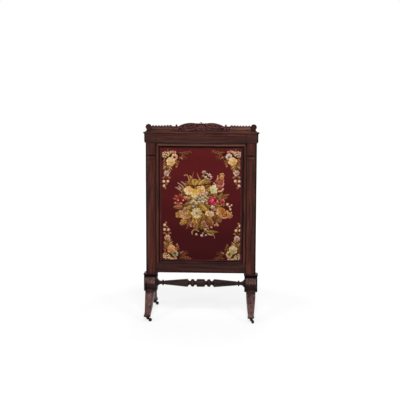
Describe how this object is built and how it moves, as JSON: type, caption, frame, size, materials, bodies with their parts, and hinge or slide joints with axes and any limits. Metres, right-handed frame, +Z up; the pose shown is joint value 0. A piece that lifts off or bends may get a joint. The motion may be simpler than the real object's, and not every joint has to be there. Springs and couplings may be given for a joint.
{
  "type": "fire screen",
  "caption": "Cheval fire screen: a needlework panel in a lifting frame between pilastered uprights, carved cresting above, on scroll-topped swept legs with casters.",
  "frame": {"origin": "on the floor under the middle of the screen, at the centre of its bounding box's bottom", "axes": "+X to the right as seen from the front, -Y out of the needlework front, +Z up"},
  "size_m": [0.662, 0.4486, 1.1125],
  "materials": {
    "rosewood": "french polish, satin",
    "rosewood_dark": "french polish, satin",
    "rosewood_light": "french polish, satin",
    "pine": "bare planed wood",
    "needlework": "wool stitches on canvas",
    "braid": "woven braid",
    "linen": "plain weave",
    "brass": "aged, dull",
    "spring_steel": "plain"
  },
  "bodies": {
    "stand": {"upright_left": "rosewood", "pilaster_left": "rosewood_light", "side_cap_left": "rosewood_dark", "end_block_left": "rosewood_light", "roundel_left": "rosewood_dark", "crest_scroll_left": "rosewood_light", "base_block_left": "rosewood_dark", "collar_left": "rosewood", "upright_right": "rosewood", "pilaster_right": "rosewood_light", "side_cap_right": "rosewood_dark", "end_block_right": "rosewood_light", "roundel_right": "rosewood_dark", "crest_scroll_right": "rosewood_light", "base_block_right": "rosewood_dark", "collar_right": "rosewood", "frieze_front": "rosewood", "frieze_back": "rosewood", "crest_board": "rosewood", "cornice": "rosewood_light", "crest_shell": "rosewood_light", "bottom_rail": "rosewood_dark", "stretcher": "rosewood_dark", "leg_front_left": "rosewood_light", "caster_plate_front_left": "brass", "leg_front_right": "rosewood_light", "caster_plate_front_right": "brass", "leg_rear_left": "rosewood_light", "caster_plate_rear_left": "brass", "leg_rear_right": "rosewood_light", "caster_plate_rear_right": "brass"},
    "slide": {"slide_stile_left": "rosewood_light", "slide_stile_right": "rosewood_light", "slide_top_rail": "rosewood_light", "slide_bottom_rail": "rosewood_light", "strainer": "pine", "needlework": "needlework", "gimp_braid": "braid", "backing_cloth": "linen", "bow_spring_left": "spring_steel", "bow_spring_right": "spring_steel", "lift_knob_left": "brass", "lift_knob_right": "brass", "stop_block_left": "rosewood_dark", "stop_block_right": "rosewood_dark"},
    "caster_front_left": {"caster_horn_front_left": "brass", "caster_axle_front_left": "spring_steel"},
    "wheel_front_left": {"caster_wheel_front_left": "brass"},
    "caster_front_right": {"caster_horn_front_right": "brass", "caster_axle_front_right": "spring_steel"},
    "wheel_front_right": {"caster_wheel_front_right": "brass"},
    "caster_rear_left": {"caster_horn_rear_left": "brass", "caster_axle_rear_left": "spring_steel"},
    "wheel_rear_left": {"caster_wheel_rear_left": "brass"},
    "caster_rear_right": {"caster_horn_rear_right": "brass", "caster_axle_rear_right": "spring_steel"},
    "wheel_rear_right": {"caster_wheel_rear_right": "brass"}
  },
  "joints": [
    {"name": "slide_lift", "type": "slide", "parent": "stand", "child": "slide", "axis": [0, 0, 1], "range_m": [0, 0.38]},
    {"name": "swivel_front_left", "type": "hinge", "parent": "stand", "child": "caster_front_left", "pos_m": [-0.29, -0.203, 0.019], "axis": [0, 0, 1], "continuous": true},
    {"name": "roll_front_left", "type": "hinge", "parent": "caster_front_left", "child": "wheel_front_left", "pos_m": [-0.274, -0.203, 0.01], "axis": [0, 1, 0], "continuous": true},
    {"name": "swivel_front_right", "type": "hinge", "parent": "stand", "child": "caster_front_right", "pos_m": [0.29, -0.203, 0.019], "axis": [0, 0, 1], "continuous": true},
    {"name": "roll_front_right", "type": "hinge", "parent": "caster_front_right", "child": "wheel_front_right", "pos_m": [0.30029, -0.21526, 0.01], "axis": [0.766, 0.6428, 0], "continuous": true},
    {"name": "swivel_rear_left", "type": "hinge", "parent": "stand", "child": "caster_rear_left", "pos_m": [-0.29, 0.203, 0.019], "axis": [0, 0, 1], "continuous": true},
    {"name": "roll_rear_left", "type": "hinge", "parent": "caster_rear_left", "child": "wheel_rear_left", "pos_m": [-0.274, 0.203, 0.01], "axis": [0, 1, 0], "continuous": true},
    {"name": "swivel_rear_right", "type": "hinge", "parent": "stand", "child": "caster_rear_right", "pos_m": [0.29, 0.203, 0.019], "axis": [0, 0, 1], "continuous": true},
    {"name": "roll_rear_right", "type": "hinge", "parent": "caster_rear_right", "child": "wheel_rear_right", "pos_m": [0.27971, 0.21526, 0.01], "axis": [-0.766, -0.6428, 0], "continuous": true}
  ]
}
